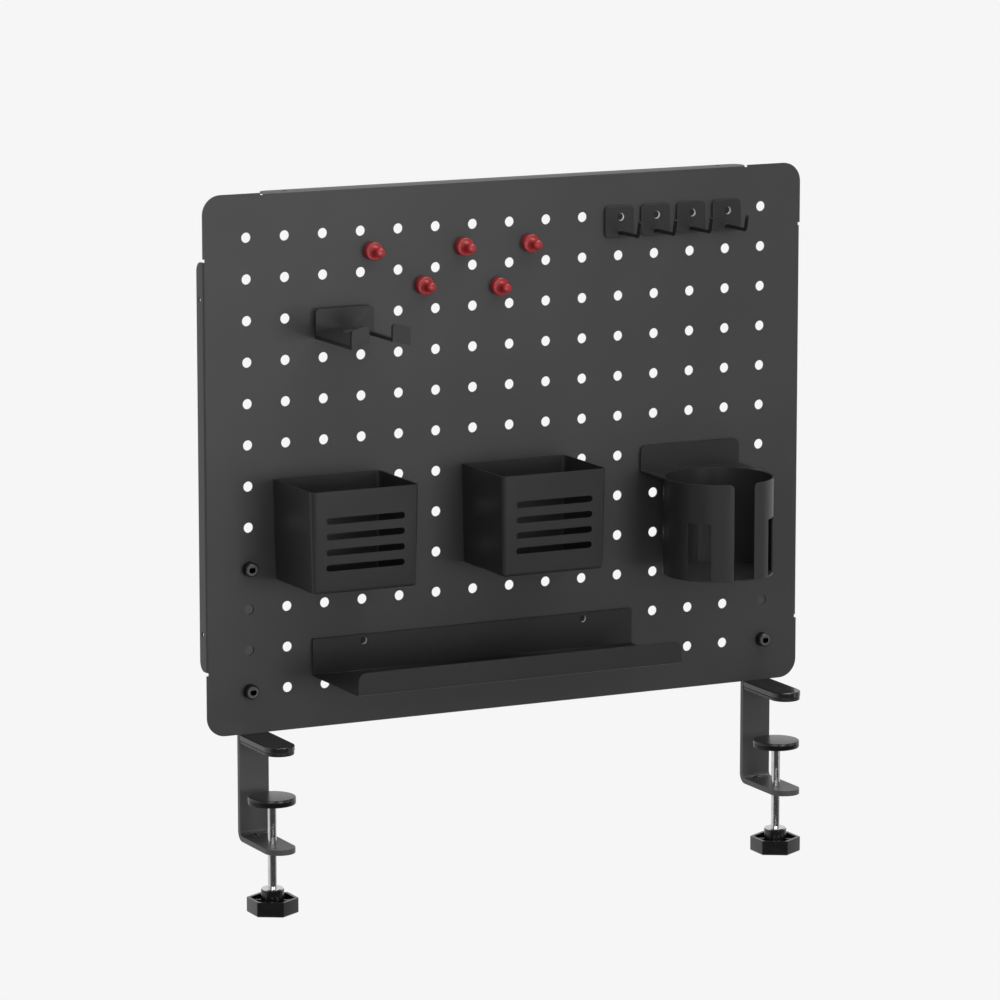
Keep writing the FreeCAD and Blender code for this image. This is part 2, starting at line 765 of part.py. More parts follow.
def penBox(side, x):
    """A folded open box with a row of level slots in its front."""
    body = newBody("pen_box_" + side, x, plateBack, dim.penBoxTop - dim.penBoxHeight)
    half, depth, wall = dim.penBoxWidth / 2, dim.penBoxDepth, dim.penBoxWall
    height, corner = dim.penBoxHeight, dim.penBoxCorner
    lean = dim.penBoxTaper / height
    lean = Size(-math.degrees(math.atan(lean)), f"-atan({lean.text})")
    mouth = sketchOn(body, "XY", "mouth_outline", height)
    rectangle(mouth, -half, half, -depth, corner * 2, corner)
    bind(pad(body, mouth, height, "block", back=True), "TaperAngle", lean)
    inside = sketchOn(body, "XY", "inside_outline", height)
    rectangle(inside, wall - half, half - wall, wall - depth, -wall, corner - wall)
    bind(pocket(body, inside, height - wall, "inside"), "TaperAngle", lean)
    back = sketchOn(body, "XZ", "back_outline")
    rectangle(back, -(half * 2), half * 2, -height, height * 2)
    pocket(body, back, corner * 3, "flat_back")

    def footEdge(edge):
        box = edge.BoundBox
        return near(box.ZMin, 0) and near(box.ZMax, 0) and not near(box.YMin, 0)

    roundEdges(body, corner - wall * 2, footEdge, "foot_edges")
    slot = sketchOn(body, "XZ", "slot_outline")
    radius = dim.slotHeight / 2 - 0.01
    bottom = (dim.penBoxHeight - dim.slotTop - (dim.slotCount - 1) * dim.slotSpacing
              - dim.slotHeight / 2)
    rectangle(slot, -dim.slotLength / 2, dim.slotLength / 2, bottom, bottom + dim.slotHeight, radius)
    slot.AttachmentOffset = FreeCAD.Placement(Vector(0, 0, float(depth)), FreeCAD.Rotation())
    slot.setExpression("AttachmentOffset.Base.z", depth.text)
    first = pocket(body, slot, dim.penBoxTaper * 2 + wall * 4, "slot", middle=True)
    rowPattern(body, first, slot, "slots", None, (dim.slotCount, dim.slotSpacing))
    return body


def magnetGroup(label, x, blocks, thickness):
    """Flat magnets between an accessory's back and the panel; blocks are (left, width, bottom, height)."""
    parts = []
    for i, (left, width, bottom, height) in enumerate(blocks):
        block = doc.addObject("Part::Box", f"{label}_{i + 1}")
        bind(block, "Length", width)
        bind(block, "Width", thickness)
        bind(block, "Height", height)
        place(block, x + left, -thickness, bottom)
        parts.append(block)
    group = doc.addObject("Part::Compound", label)
    group.Label = label
    group.Links = parts
    return group


def boxMagnets(side, x):
    low = dim.penBoxTop - dim.penBoxHeight
    width = dim.penBoxWidth - dim.magnetInset * 4
    return magnetGroup("pen_box_magnets_" + side, x, [
        (-width / 2, width, low + dim.magnetInset, dim.magnetBar),
        (-width / 2, width, dim.penBoxTop - dim.magnetInset - dim.magnetBar, dim.magnetBar)],
        dim.magnetThickness)


# ---- cup holder --------------------------------------------------------------------------------


def cupHolder():
    """A rolled cup with a front slot and two windows, hung from a web and an upright plate."""
    body = newBody("cup_holder", dim.cupCentre, 0, dim.cupRim - dim.cupHeight)
    radius, wall, height = dim.cupRadius, dim.cupWall, dim.cupHeight
    centre = -dim.cupSetback
    left, right = dim.cupPlateShift - dim.cupPlateWidth / 2, dim.cupPlateShift + dim.cupPlateWidth / 2
    shell = sketchOn(body, "XY", "shell_outline")
    circle(shell, 0, centre, radius)
    pad(body, shell, height, "shell")
    web = sketchOn(body, "XY", "web_outline", height - wall)
    rectangle(web, left, right, centre, plateBack)
    pad(body, web, wall, "web")
    plate = sketchOn(body, "XZ", "plate_outline", -plateBack)
    outline(plate, [(left, height - wall), (right, height - wall),
                    (right, height + dim.cupPlateRise, dim.cupPlateCorner),
                    (left, height + dim.cupPlateRise, dim.cupPlateCorner)])
    pad(body, plate, wall, "plate")
    bore = sketchOn(body, "XY", "bore_outline", wall)
    circle(bore, 0, centre, radius - wall)
    pocket(body, bore, height, "bore", back=True)
    slot = sketchOn(body, "XZ", "slot_outline", -centre)
    rectangle(slot, -dim.cupSlotWidth / 2, dim.cupSlotWidth / 2, wall, height * 1.5)
    pocket(body, slot, radius * 1.2, "slot", back=True)

    def slotCorner(edge):
        middle = edge.CenterOfMass
        atSlot = near(abs(middle.x), dim.cupSlotWidth / 2) and middle.y < centre - radius / 2
        return atSlot and near(middle.z, height) and isAlong(edge, yAxis)

    roundEdges(body, dim.cupSlotCorner, slotCorner, "slot_corners")
    for side, sign in (("left", -1), ("right", 1)):
        window = sketchOn(body, "XY", side + "_window_outline", wall)
        corners = []
        for reach, angle in ((0.8, dim.cupWindowNear), (1.6, dim.cupWindowNear),
                             (1.6, dim.cupWindowFar), (0.8, dim.cupWindowFar)):
            across = radius * reach * sine(angle) * sign
            corners.append((across, centre - radius * reach * cosine(angle)))
        outline(window, corners)
        pocket(body, window, height - wall - dim.cupWindowDrop, side + "_window", back=True)
    return body


def sine(angle):
    return Size(math.sin(math.radians(angle)), f"sin({angle.text} * 1 deg)")


def cosine(angle):
    return Size(math.cos(math.radians(angle)), f"cos({angle.text} * 1 deg)")


def cupMagnets():
    width = dim.cupPlateWidth - dim.magnetInset * 3
    return magnetGroup("cup_holder_magnets", dim.cupCentre + dim.cupPlateShift, [
        (-width / 2, width, dim.cupRim + dim.cupPlateRise / 2 - dim.magnetBar / 2, dim.magnetBar)],
        dim.magnetThickness)


# ---- tray --------------------------------------------------------------------------------------

trayMiddle = (dim.trayFirstColumn + dim.trayLastColumn - (dim.pegColumns - 1)) / 2 * dim.pegPitch
trayTop = rowZ(dim.trayRow) - dim.trayDrop + dim.trayHoleDrop
trayFloor = trayTop - dim.trayPlateHeight


def tray():
    """A long folded shelf: upright back, level floor and a front lip."""
    body = newBody("tray", trayMiddle, plateBack, trayFloor)
    thin, bend = dim.traySheet, dim.trayBend
    depth = dim.trayDepth - dim.magnetThickness
    section = sketchOn(body, "YZ", "tray_section")
    outline(section, [
        (-depth, 0, bend), (0, 0, bend), (0, dim.trayPlateHeight), (-thin, dim.trayPlateHeight),
        (-thin, thin, bend - thin), (thin - depth, thin, bend - thin), (thin - depth, dim.trayLip),
        (-depth, dim.trayLip)])
    pad(body, section, dim.trayLength, "sheet", middle=True)

    def lipCorner(edge):
        return isAlong(edge, yAxis) and near(edge.CenterOfMass.z, dim.trayLip)

    def plateCorner(edge):
        return isAlong(edge, yAxis) and near(edge.CenterOfMass.z, dim.trayPlateHeight)

    roundEdges(body, dim.trayLipCorner, lipCorner, "lip_corners")
    roundEdges(body, dim.trayPlateCorner, plateCorner, "plate_corners")
    holes = sketchOn(body, "XZ", "fixing_holes_outline")
    reach = (dim.trayLastColumn - dim.trayFirstColumn) * dim.pegPitch / 2
    for sign in (-1, 1):
        circle(holes, sign * reach, dim.trayPlateHeight - dim.trayHoleDrop, dim.trayHole / 2)
    pocket(body, holes, thin * 4, "fixing_holes", middle=True)
    return body


def trayMagnets():
    width = dim.pegPitch * 2
    reach = dim.trayLength / 2 - dim.magnetInset
    low = trayFloor + dim.magnetInset / 2
    return magnetGroup("tray_magnets", trayMiddle, [
        (-reach, width, low, dim.magnetBar), (-width / 2, width, low, dim.magnetBar),
        (reach - width, width, low, dim.magnetBar)], dim.magnetThickness)


# ---- headphone hanger --------------------------------------------------------------------------


def headphoneHanger():
    """An arched saddle with two upturned arms, on an upright plate."""
    bottom = dim.hangerPlateTop - dim.hangerPlateHeight
    body = newBody("headphone_hanger", dim.hangerCentre, 0, bottom)
    half, high = dim.hangerWidth / 2, dim.hangerPlateHeight
    back = -dim.hangerMagnet
    thick, radius = dim.saddleThickness, dim.saddleRadius
    crown = panelMiddle + dim.saddleCrown - bottom
    plate = sketchOn(body, "XZ", "plate_outline", -back)
    outline(plate, [(-half, 0), (half, 0), (half, high, dim.hangerPlateCorner),
                    (-half, high, dim.hangerPlateCorner)])
    pad(body, plate, dim.hangerPlateThickness, "plate")
    saddle = sketchOn(body, "XZ", "saddle_outline", -back)
    archBand(saddle, half, crown, radius, thick)
    pad(body, saddle, dim.hangerReach + back, "saddle")
    tabs = sketchOn(body, "XZ", "tabs_outline", dim.hangerReach)
    archBand(tabs, half, crown + dim.hangerTabHeight, radius, thick / 2 + dim.hangerTabHeight)
    pad(body, tabs, thick, "tabs", back=True)
    gap = sketchOn(body, "XY", "gap_outline")
    start = back - dim.hangerPlateThickness - dim.hangerGapStart
    gapHalf = dim.hangerGap / 2
    outline(gap, [(-gapHalf, -(dim.hangerReach * 1.2)), (gapHalf, -(dim.hangerReach * 1.2)),
                  (gapHalf, start, dim.hangerGapCorner), (-gapHalf, start, dim.hangerGapCorner)])
    pocket(body, gap, (high + dim.hangerTabHeight) * 3, "gap", middle=True)

    def tabCorner(edge):
        middle = edge.CenterOfMass
        high = middle.z > crown + dim.hangerTabHeight / 4
        return isAlong(edge, yAxis) and high and middle.y < -dim.hangerReach / 2

    roundEdges(body, dim.hangerTabCorner, tabCorner, "tab_corners")
    return body


def archBand(sketch, half, crown, radius, thickness):
    """A band between two arcs about one centre, cut off square at both sides."""
    centre = crown - radius
    inner = radius - thickness
    outerSide = centre + rootOf(radius * radius - half * half)
    innerSide = centre + rootOf(inner * inner - half * half)
    middle = (0.0, float(centre))
    points = [(half, outerSide), (-half, outerSide), (-half, innerSide), (half, innerSide)]
    outerArc = arcBetween(sketch, points[0], points[1], middle, radius)
    left = sketch.addGeometry(Part.LineSegment(asVector(points[1]), asVector(points[2])), False)
    innerArc = arcBetween(sketch, points[3], points[2], middle, inner)
    right = sketch.addGeometry(Part.LineSegment(asVector(points[3]), asVector(points[0])), False)
    for geometry, point, (x, y) in ((left, 1, points[1]), (left, 2, points[2]),
                                    (right, 1, points[3]), (right, 2, points[0])):
        lock(sketch, geometry, point, x, y)
    for arc, arcPoint, line, linePoint in ((outerArc, 1, right, 2), (outerArc, 2, left, 1),
                                           (innerArc, 1, right, 1), (innerArc, 2, left, 2)):
        sketch.addConstraint(Sketcher.Constraint("Coincident", arc, arcPoint, line, linePoint))
    constrain(sketch, "Radius", outerArc, radius)
    constrain(sketch, "Radius", innerArc, inner)


def asVector(point):
    return Vector(float(point[0]), float(point[1]), 0)


def rootOf(value):
    return Size(math.sqrt(value), f"sqrt({value.text})")


def hangerMagnets():
    bottom = dim.hangerPlateTop - dim.hangerPlateHeight
    width = dim.hangerWidth - dim.magnetInset
    height = dim.hangerPlateHeight - dim.magnetInset
    return magnetGroup("hanger_magnet", dim.hangerCentre, [
        (-width / 2, width, bottom + dim.magnetInset / 2, height)], dim.hangerMagnet)


# ---- hooks -------------------------------------------------------------------------------------


def hookX(number):
    return columnX(dim.hookFirstColumn + (number - 1)) - dim.hookShift


def hookPlate(number):
    body = newBody(f"hook_plate_{number}", hookX(number), plateBack, dim.hookTop)
    half = dim.hookPlateWidth / 2
    plan = sketchOn(body, "XZ", "plate_outline")
    rectangle(plan, -half, half, -dim.hookPlateHeight, 0 * dim.hookTop, dim.hookPlateCorner)
    pad(body, plan, dim.hookPlateThickness, "plate")
    hole = sketchOn(body, "XZ", "hole_outline")
    circle(hole, dim.hookHoleShift, -dim.hookHoleDrop, dim.hookHole / 2)
    pocket(body, hole, dim.hookPlateThickness * 3, "hole", middle=True)
    return body


def hookRod(number):
    """A bent round rod, welded to the plate: out from the board and up at its end."""
    front = plateBack - dim.hookPlateThickness
    body = newBody(f"hook_rod_{number}", hookX(number), 0, dim.hookTop - dim.hookRodDrop)
    radius, bend = dim.hookRod / 2, dim.hookBend
    reach = -dim.hookReach
    profile = sketchOn(body, "XZ", "rod_section", -front)
    circle(profile, 0, 0, radius)
    path = sketchOn(body, "YZ", "rod_path")
    lean = math.atan2(dim.hookLean, dim.hookRise)
    leanText = f"atan2({dim.hookLean.text}; {dim.hookRise.text})"
    up, out = Size(math.cos(lean), f"cos({leanText})"), Size(math.sin(lean), f"sin({leanText})")
    turn = (math.pi / 2 - lean) / 2
    cut = bend * Size(math.tan(turn), f"tan((90 deg - {leanText}) / 2)")
    first = (reach + cut, 0)
    second = (reach - cut * out, cut * up)
    end = (reach - dim.hookLean, dim.hookRise)
    straight = sketchLine(path, (front, 0), first)
    rise = sketchLine(path, second, end)
    centre = (float(first[0]), float(bend))
    arc = arcBetween(path, second, first, centre, bend)
    lock(path, straight, 1, front, 0)
    lock(path, straight, 2, *first)
    lock(path, rise, 1, *second)
    lock(path, rise, 2, *end)
    path.addConstraint(Sketcher.Constraint("Coincident", arc, 2, straight, 2))
    path.addConstraint(Sketcher.Constraint("Coincident", arc, 1, rise, 1))
    constrain(path, "Radius", arc, bend)
    doc.recompute()
    pipe = body.newObject("PartDesign::AdditivePipe", "rod")
    pipe.Profile = profile
    pipe.Spine = (path, ["Edge1", "Edge2", "Edge3"])
    body.Tip = pipe
    return body


def sketchLine(sketch, start, end):
    return sketch.addGeometry(Part.LineSegment(asVector(start), asVector(end)), False)


def hookMagnet(number):
    width = dim.hookPlateWidth - dim.magnetInset
    bottom = dim.hookTop - dim.hookPlateHeight + dim.magnetInset / 3
    height = dim.hookPlateHeight - dim.hookHoleDrop - dim.hookHole / 2 - dim.magnetInset * 0.6
    return magnetGroup(f"hook_magnet_{number}", hookX(number), [
        (-width / 2, width, bottom, height)], dim.magnetThickness)


# ---- push pins ---------------------------------------------------------------------------------

pinPlaces = [(-137.5, 436.1), (-47.3, 434.9), (19.2, 434.3), (-87.1, 402.2), (-11.9, 396.8)]


def pushPin(number, x, z):
    """A turned grip with a magnet let into its base."""
    body = newBody(f"push_pin_{number}", x, 0, z)
    radius, base, edge = dim.pinRadius, dim.pinBase, dim.pinEdge
    section = sketchOn(body, "XY", "pin_section")
    cup = dim.pinMagnetRadius + dim.runningClearance
    length, head, neck = dim.pinLength, dim.pinHead, dim.pinNeck
    outline(section, [
        (0, -length), (head * 0.6, -length), (head, -(length - head * 0.45)),
        (head, -(length - head * 1.1)), (neck, -(length - head * 2)), (neck * 1.15, -(base + dim.pinFoot)),
        (radius - edge * 1.6, -base), (radius - edge, -base), (radius, -(base - edge)),
        (radius, -dim.pinFootEdge), (radius - dim.pinFootEdge, 0), (cup, 0), (cup, -dim.pinMagnetDepth),
        (0, -dim.pinMagnetDepth)])
    revolve(body, section, "pin")
    return body


def pinMagnet(number, x, z):
    disc = doc.addObject("Part::Cylinder", f"pin_magnet_{number}")
    disc.Label = f"pin_magnet_{number}"
    bind(disc, "Radius", dim.pinMagnetRadius)
    bind(disc, "Height", dim.pinMagnetDepth)
    disc.Placement = FreeCAD.Placement(Vector(x, 0, z), FreeCAD.Rotation(xAxis, 90))
    return disc


# ---- build, check and write --------------------------------------------------------------------

nodes = [pegboardPanel()]
for side in ("left", "right"):
    nodes += [
        clampBracket(side),
        tongue("upper_jaw_", side, dim.jawPadThickness, dim.jawThickness, 0),
        tongue("jaw_pad_", side, 0, dim.jawPadThickness, dim.jawPadInset),
        clampBolts(side), jawStud(side), pressureDisc(side), discPad(side), clampScrew(side),
        knobCollar(side), clampKnob(side)]
for side, x in (("left", dim.penBoxLeft), ("right", dim.penBoxRight)):
    nodes += [penBox(side, x), boxMagnets(side, x)]
nodes += [cupHolder(), cupMagnets(), tray(), trayMagnets(), headphoneHanger(), hangerMagnets()]
for number in range(1, int(dim.hookCount) + 1):
    nodes += [hookPlate(number), hookRod(number), hookMagnet(number)]
for number, (x, z) in enumerate(pinPlaces, 1):
    nodes += [pushPin(number, x, z), pinMagnet(number, x, z)]

doc.recompute()
for thing in doc.Objects:
    if "Invalid" in thing.State or "Error" in thing.State:
        raise RuntimeError(f"{thing.Name} ({thing.Label}) failed: {thing.State}")
os.makedirs("parts", exist_ok=True)
for node in nodes:
    if node.Shape.isNull() or not node.Shape.isValid():
        raise RuntimeError(f"{node.Label} has no valid shape")
    node.Shape.exportStep(f"parts/{node.Label}.step")
    print(node.Label, round(node.Shape.Volume, 1), len(node.Shape.Solids))
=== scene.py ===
# Clamp-on pegboard desk organizer: finishes, fine shapes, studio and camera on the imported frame.
import bpy
import bmesh
import math
from mathutils import Matrix, Vector


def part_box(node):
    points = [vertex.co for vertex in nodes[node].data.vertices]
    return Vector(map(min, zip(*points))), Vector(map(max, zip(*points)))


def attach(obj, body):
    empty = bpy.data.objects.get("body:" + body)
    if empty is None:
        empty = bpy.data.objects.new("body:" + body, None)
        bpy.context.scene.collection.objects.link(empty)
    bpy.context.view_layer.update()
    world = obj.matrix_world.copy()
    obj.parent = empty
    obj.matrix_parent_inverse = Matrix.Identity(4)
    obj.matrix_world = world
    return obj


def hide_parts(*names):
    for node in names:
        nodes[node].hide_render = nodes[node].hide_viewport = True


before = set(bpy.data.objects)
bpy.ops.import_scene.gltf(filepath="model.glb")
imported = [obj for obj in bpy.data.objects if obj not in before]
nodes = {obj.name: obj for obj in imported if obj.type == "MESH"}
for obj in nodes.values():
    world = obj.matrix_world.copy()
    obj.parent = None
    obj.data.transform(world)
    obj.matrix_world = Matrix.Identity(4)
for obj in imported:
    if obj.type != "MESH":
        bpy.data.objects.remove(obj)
scene = bpy.context.scene
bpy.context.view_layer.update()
print("frame loaded:", len(nodes), "nodes")

sides = ("left", "right")
white = (1, 1, 1, 1)


# camera and studio

cameraSetup = {"azimuth": -26.5627, "elevation": 10.0493, "distance": 4.8098, "lens": 190.777,
               "target": (-0.0096, 0.0, 0.2007), "sensor": 36, "reach": 100}
studio = {"backdrop": 0.9216, "worldLight": 0.42, "floorTone": 0.8,
          "frontShine": 0.06, "backShine": 0.74,
          "worldShade": (-0.55, 0.25), "floorShade": (-1.5, 0.7),
          "floorHeight": -0.74, "floorSize": 30.0}
lamps = [
    {"name": "viewSoftbox", "place": (-1.5, -2.55, 0.75), "aim": (0, 0, 0.2),
     "size": (1.3, 1.1), "power": 18},
    {"name": "frontSoftbox", "place": (0.42, -2.2, 0.24), "aim": (-0.25, 0, 0.35),
     "size": (0.8, 0.6), "power": 8.5},
    {"name": "upperSoftbox", "place": (-0.1, -1.1, 1.45), "aim": (0, 0, 0.4),
     "size": (1.2, 0.5), "power": 5},
    {"name": "topSoftbox", "place": (0.75, -0.35, 2.2), "aim": (0, -0.1, 0.2),
     "size": (1.8, 1.3), "power": 32},
    {"name": "rightSoftbox", "place": (1.9, -1.3, 0.1), "aim": (0.1, 0, 0.1),
     "size": (0.8, 1.3), "power": 3},
]


def backVector(azimuth, elevation):
    az, el = math.radians(azimuth), math.radians(elevation)
    return Vector((math.sin(az) * math.cos(el), -math.cos(az) * math.cos(el), math.sin(el)))


def aimed(thing, place, target):
    thing.location = place
    thing.rotation_euler = (Vector(target) - Vector(place)).to_track_quat("-Z", "Y").to_euler()
    return thing


def buildCamera(setup):
    data = bpy.data.cameras.new("studioCamera")
    data.lens, data.sensor_width = setup["lens"], setup["sensor"]
    data.clip_end = setup["reach"]
    camera = bpy.data.objects.new("studioCamera", data)
    scene.collection.objects.link(camera)
    back = backVector(setup["azimuth"], setup["elevation"])
    aimed(camera, Vector(setup["target"]) + back * setup["distance"], setup["target"])
    scene.camera = camera


def buildLamps(setups):
    for setup in setups:
        data = bpy.data.lights.new(setup["name"], "AREA")
        data.shape = "RECTANGLE"
        data.size, data.size_y = setup["size"]
        data.energy = setup["power"]
        lamp = bpy.data.objects.new(setup["name"], data)
        scene.collection.objects.link(lamp)
        aimed(lamp, setup["place"], setup["aim"])


def setSockets(node, **values):
    # underscores stand for the spaces in the sockets' names
    for socket, value in values.items():
        node.inputs[socket.replace("_", " ")].default_value = value
    return node


def depthShade(tree, place, span, setup):
    # dim in front and bright behind, along Y
    split = tree.nodes.new("ShaderNodeSeparateXYZ")
    depth = tree.nodes.new("ShaderNodeMapRange")
    depth.interpolation_type = "SMOOTHSTEP"
    setSockets(depth, From_Min=span[0], From_Max=span[1],
               To_Min=setup["frontShine"], To_Max=setup["backShine"])
    tree.links.new(place, split.inputs[0])
    tree.links.new(split.outputs["Y"], depth.inputs["Value"])
    return depth.outputs["Result"]


def eitherRay(tree, first, second):
    node = tree.nodes.new("ShaderNodeMath")
    node.operation = "MAXIMUM"
    tree.links.new(first, node.inputs[0])
    tree.links.new(second, node.inputs[1])
    return node.outputs[0]


def mixedShader(tree, factor, usual, other):
    node = tree.nodes.new("ShaderNodeMixShader")
    for socket, output in zip(node.inputs, (factor, usual, other)):
        tree.links.new(output, socket)
    return node.outputs[0]


def buildWorld(setup):
    world = bpy.data.worlds.new("studioWorld")
    scene.world = world
    world.use_nodes = True
    tree = world.node_tree
    tree.nodes.clear()
    output = tree.nodes.new("ShaderNodeOutputWorld")
    ray = tree.nodes.new("ShaderNodeLightPath").outputs
    direction = tree.nodes.new("ShaderNodeTexCoord").outputs["Generated"]
    light = tree.nodes.new("ShaderNodeBackground")
    setSockets(light, Color=white, Strength=setup["worldLight"])
    shine = setSockets(tree.nodes.new("ShaderNodeBackground"), Color=white)
    shade = depthShade(tree, direction, setup["worldShade"], setup)
    tree.links.new(shade, shine.inputs["Strength"])
    seen = tree.nodes.new("ShaderNodeBackground")
    setSockets(seen, Color=white, Strength=setup["backdrop"])
    glossOrGlass = eitherRay(tree, ray["Is Glossy Ray"], ray["Is Transmission Ray"])
    unseen = mixedShader(tree, glossOrGlass, light.outputs[0], shine.outputs[0])
    shown = mixedShader(tree, ray["Is Camera Ray"], unseen, seen.outputs[0])
    tree.links.new(shown, output.inputs["Surface"])


def buildFloor(setup):
    mesh = bmesh.new()
    bmesh.ops.create_grid(mesh, x_segments=1, y_segments=1, size=setup["floorSize"] / 2,
                          matrix=Matrix.Translation((0, 0, setup["floorHeight"])))
    data = bpy.data.meshes.new("studioFloor")
    mesh.to_mesh(data)
    mesh.free()
    floor = bpy.data.objects.new("studioFloor", data)
    scene.collection.objects.link(floor)
    material = bpy.data.materials.new("paleFloor")
    material.use_nodes = True
    tree = material.node_tree
    tree.nodes.clear()
    output = tree.nodes.new("ShaderNodeOutputMaterial")
    ray = tree.nodes.new("ShaderNodeLightPath").outputs
    side = tree.nodes.new("ShaderNodeNewGeometry").outputs
    tone = setup["floorTone"]
    matte = setSockets(tree.nodes.new("ShaderNodeBsdfDiffuse"), Color=(tone, tone, tone, 1))
    pale = tree.nodes.new("ShaderNodeEmission")
    setSockets(pale, Color=white, Strength=setup["backdrop"])
    clear = tree.nodes.new("ShaderNodeBsdfTransparent")
    shine = setSockets(tree.nodes.new("ShaderNodeEmission"), Color=white)
    shade = depthShade(tree, side["Position"], setup["floorShade"], setup)
    tree.links.new(shade, shine.inputs["Strength"])
    seenOrGlass = eitherRay(tree, ray["Is Camera Ray"], ray["Is Transmission Ray"])
    lit = mixedShader(tree, ray["Is Glossy Ray"], matte.outputs[0], shine.outputs[0])
    above = mixedShader(tree, seenOrGlass, lit, pale.outputs[0])
    shown = mixedShader(tree, side["Backfacing"], above, clear.outputs[0])
    tree.links.new(shown, output.inputs["Surface"])
    data.materials.append(material)


scene.view_settings.view_transform = "Standard"
buildCamera(cameraSetup)
buildLamps(lamps)
buildWorld(studio)
buildFloor(studio)
print("studio ready")


# finishes

class Finish:
    def __init__(self, name, **values):
        self.material = bpy.data.materials.new(name)
        self.material.use_nodes = True
        self.tree = self.material.node_tree
        self.shader = setSockets(self.tree.nodes["Principled BSDF"], **values)
        self.place = self.tree.nodes.new("ShaderNodeTexCoord").outputs["Object"]

    def stretched(self, scale):
        mapping = setSockets(self.tree.nodes.new("ShaderNodeMapping"), Scale=scale)
        self.tree.links.new(self.place, mapping.inputs["Vector"])
        return mapping.outputs["Vector"]

    def noise(self, scale, detail, roughness=0.5, vector=None):
        node = self.tree.nodes.new("ShaderNodeTexNoise")
        setSockets(node, Scale=scale, Detail=detail, Roughness=roughness)
        self.tree.links.new(vector or self.place, node.inputs["Vector"])
        return node.outputs["Fac"]

    def spread(self, factor, low, high, start=0.3, end=0.7):
        node = self.tree.nodes.new("ShaderNodeMapRange")
        setSockets(node, From_Min=start, From_Max=end, To_Min=low, To_Max=high)
        self.tree.links.new(factor, node.inputs["Value"])
        return node.outputs["Result"]

    def ramp(self, factor, colours, start=0.3, end=0.7):
        node = self.tree.nodes.new("ShaderNodeValToRGB")
        elements = node.color_ramp.elements
        elements[0].position, elements[1].position = start, end
        elements[0].color, elements[1].color = [(*colour, 1) for colour in colours]
        self.tree.links.new(factor, node.inputs["Fac"])
        return node.outputs["Color"]

    def bump(self, height, distance, strength, under=None):
        node = self.tree.nodes.new("ShaderNodeBump")
        setSockets(node, Distance=distance, Strength=strength)
        self.tree.links.new(height, node.inputs["Height"])
        if under is not None:
            self.tree.links.new(under, node.inputs["Normal"])
        return node.outputs["Normal"]

    def link(self, output, socket):
        self.tree.links.new(output, self.shader.inputs[socket])

    def tone(self, dark, light, scale, detail):
        self.link(self.ramp(self.noise(scale, detail), (dark, light)), "Base Color")


def shaded(colour, share):
    return tuple(part * share for part in colour)


def powderCoat(name, colour, roughness, grain, shine=0.5, change=0.012):
    # a baked powder coat: fine orange peel, slow changes of tone, a little dust in the gloss
    finish = Finish(name, Metallic=0.0, IOR=1.5, Specular_IOR_Level=shine)
    finish.tone(shaded(colour, 0.92), shaded(colour, 1.08), scale=9.0, detail=4.0)
    dust = finish.noise(scale=60.0, detail=3.0)
    gloss = finish.spread(dust, roughness - change, roughness + change, start=0.2, end=0.8)
    finish.link(gloss, "Roughness")
    coarse = finish.bump(finish.noise(scale=700.0, detail=2.0), distance=grain, strength=0.6)
    fine = finish.noise(scale=2600.0, detail=2.0, roughness=0.6)
    finish.link(finish.bump(fine, distance=grain * 0.5, strength=0.6, under=coarse), "Normal")
    return finish.material


def mouldedPlastic(name, colour, roughness, grain, coat=0.0, shine=0.5, change=0.05):
    finish = Finish(name, Metallic=0.0, IOR=1.46, Coat_Weight=coat, Coat_Roughness=0.08,
                    Specular_IOR_Level=shine)
    finish.tone(shaded(colour, 0.9), colour, scale=45.0, detail=3.0)
    haze = finish.noise(scale=140.0, detail=3.0)
    finish.link(finish.spread(haze, roughness - change, roughness + change), "Roughness")
    fine = finish.noise(scale=3200.0, detail=2.0, roughness=0.6)
    finish.link(finish.bump(fine, distance=grain, strength=0.7), "Normal")
    return finish.material


def platedSteel(name, colour, roughness, lines, rings):
    # bright plating over turned steel: faint rings and a soft haze
    finish = Finish(name, Metallic=1.0)
    finish.tone(shaded(colour, 0.86), colour, scale=150.0, detail=3.0)
    haze = finish.noise(scale=260.0, detail=3.0)
    finish.link(finish.spread(haze, roughness * 0.7, roughness * 1.4), "Roughness")
    turning = finish.noise(scale=60.0, detail=3.0, roughness=0.6, vector=finish.stretched(lines))
    finish.link(finish.bump(turning, distance=0.00002, strength=rings), "Normal")
    return finish.material


def blackSteel(name, face, litDepth):
    # black oxide: dark and a little oily; painted light makes the head's face at -Y lighter than
    # the shaded knurled sides
    finish = Finish(name, Metallic=0.2, IOR=1.5, Specular_IOR_Level=0.35)
    split = finish.tree.nodes.new("ShaderNodeSeparateXYZ")
    finish.tree.links.new(finish.place, split.inputs[0])
    # painted highlight: the colour grows lighter towards the head's face at -Y
    paintedFaceLight = finish.spread(split.outputs["Y"], low=0.0, high=0.85, start=face + litDepth, end=face)
    cloud = finish.noise(scale=220.0, detail=4.0)
    cloudAndFaceLight = finish.tree.nodes.new("ShaderNodeMath")
    cloudAndFaceLight.operation = "MULTIPLY_ADD"
    cloudAndFaceLight.inputs[1].default_value = 0.15  # how much of the cloud shows
    finish.tree.links.new(cloud, cloudAndFaceLight.inputs[0])
    finish.tree.links.new(paintedFaceLight, cloudAndFaceLight.inputs[2])
    # the dark oxide colour and the painted lit tone of the head's face
    oxide, litFaceTone = (0.006, 0.006, 0.0062), (0.095, 0.095, 0.096)
    finish.link(finish.ramp(cloudAndFaceLight.outputs[0], (oxide, litFaceTone), start=0.1, end=1.0), "Base Color")
    finish.link(finish.spread(finish.noise(scale=420.0, detail=3.0), 0.30, 0.46), "Roughness")
    fine = finish.noise(scale=1500.0, detail=2.0)
    finish.link(finish.bump(fine, distance=0.00003, strength=0.5), "Normal")
    return finish.material


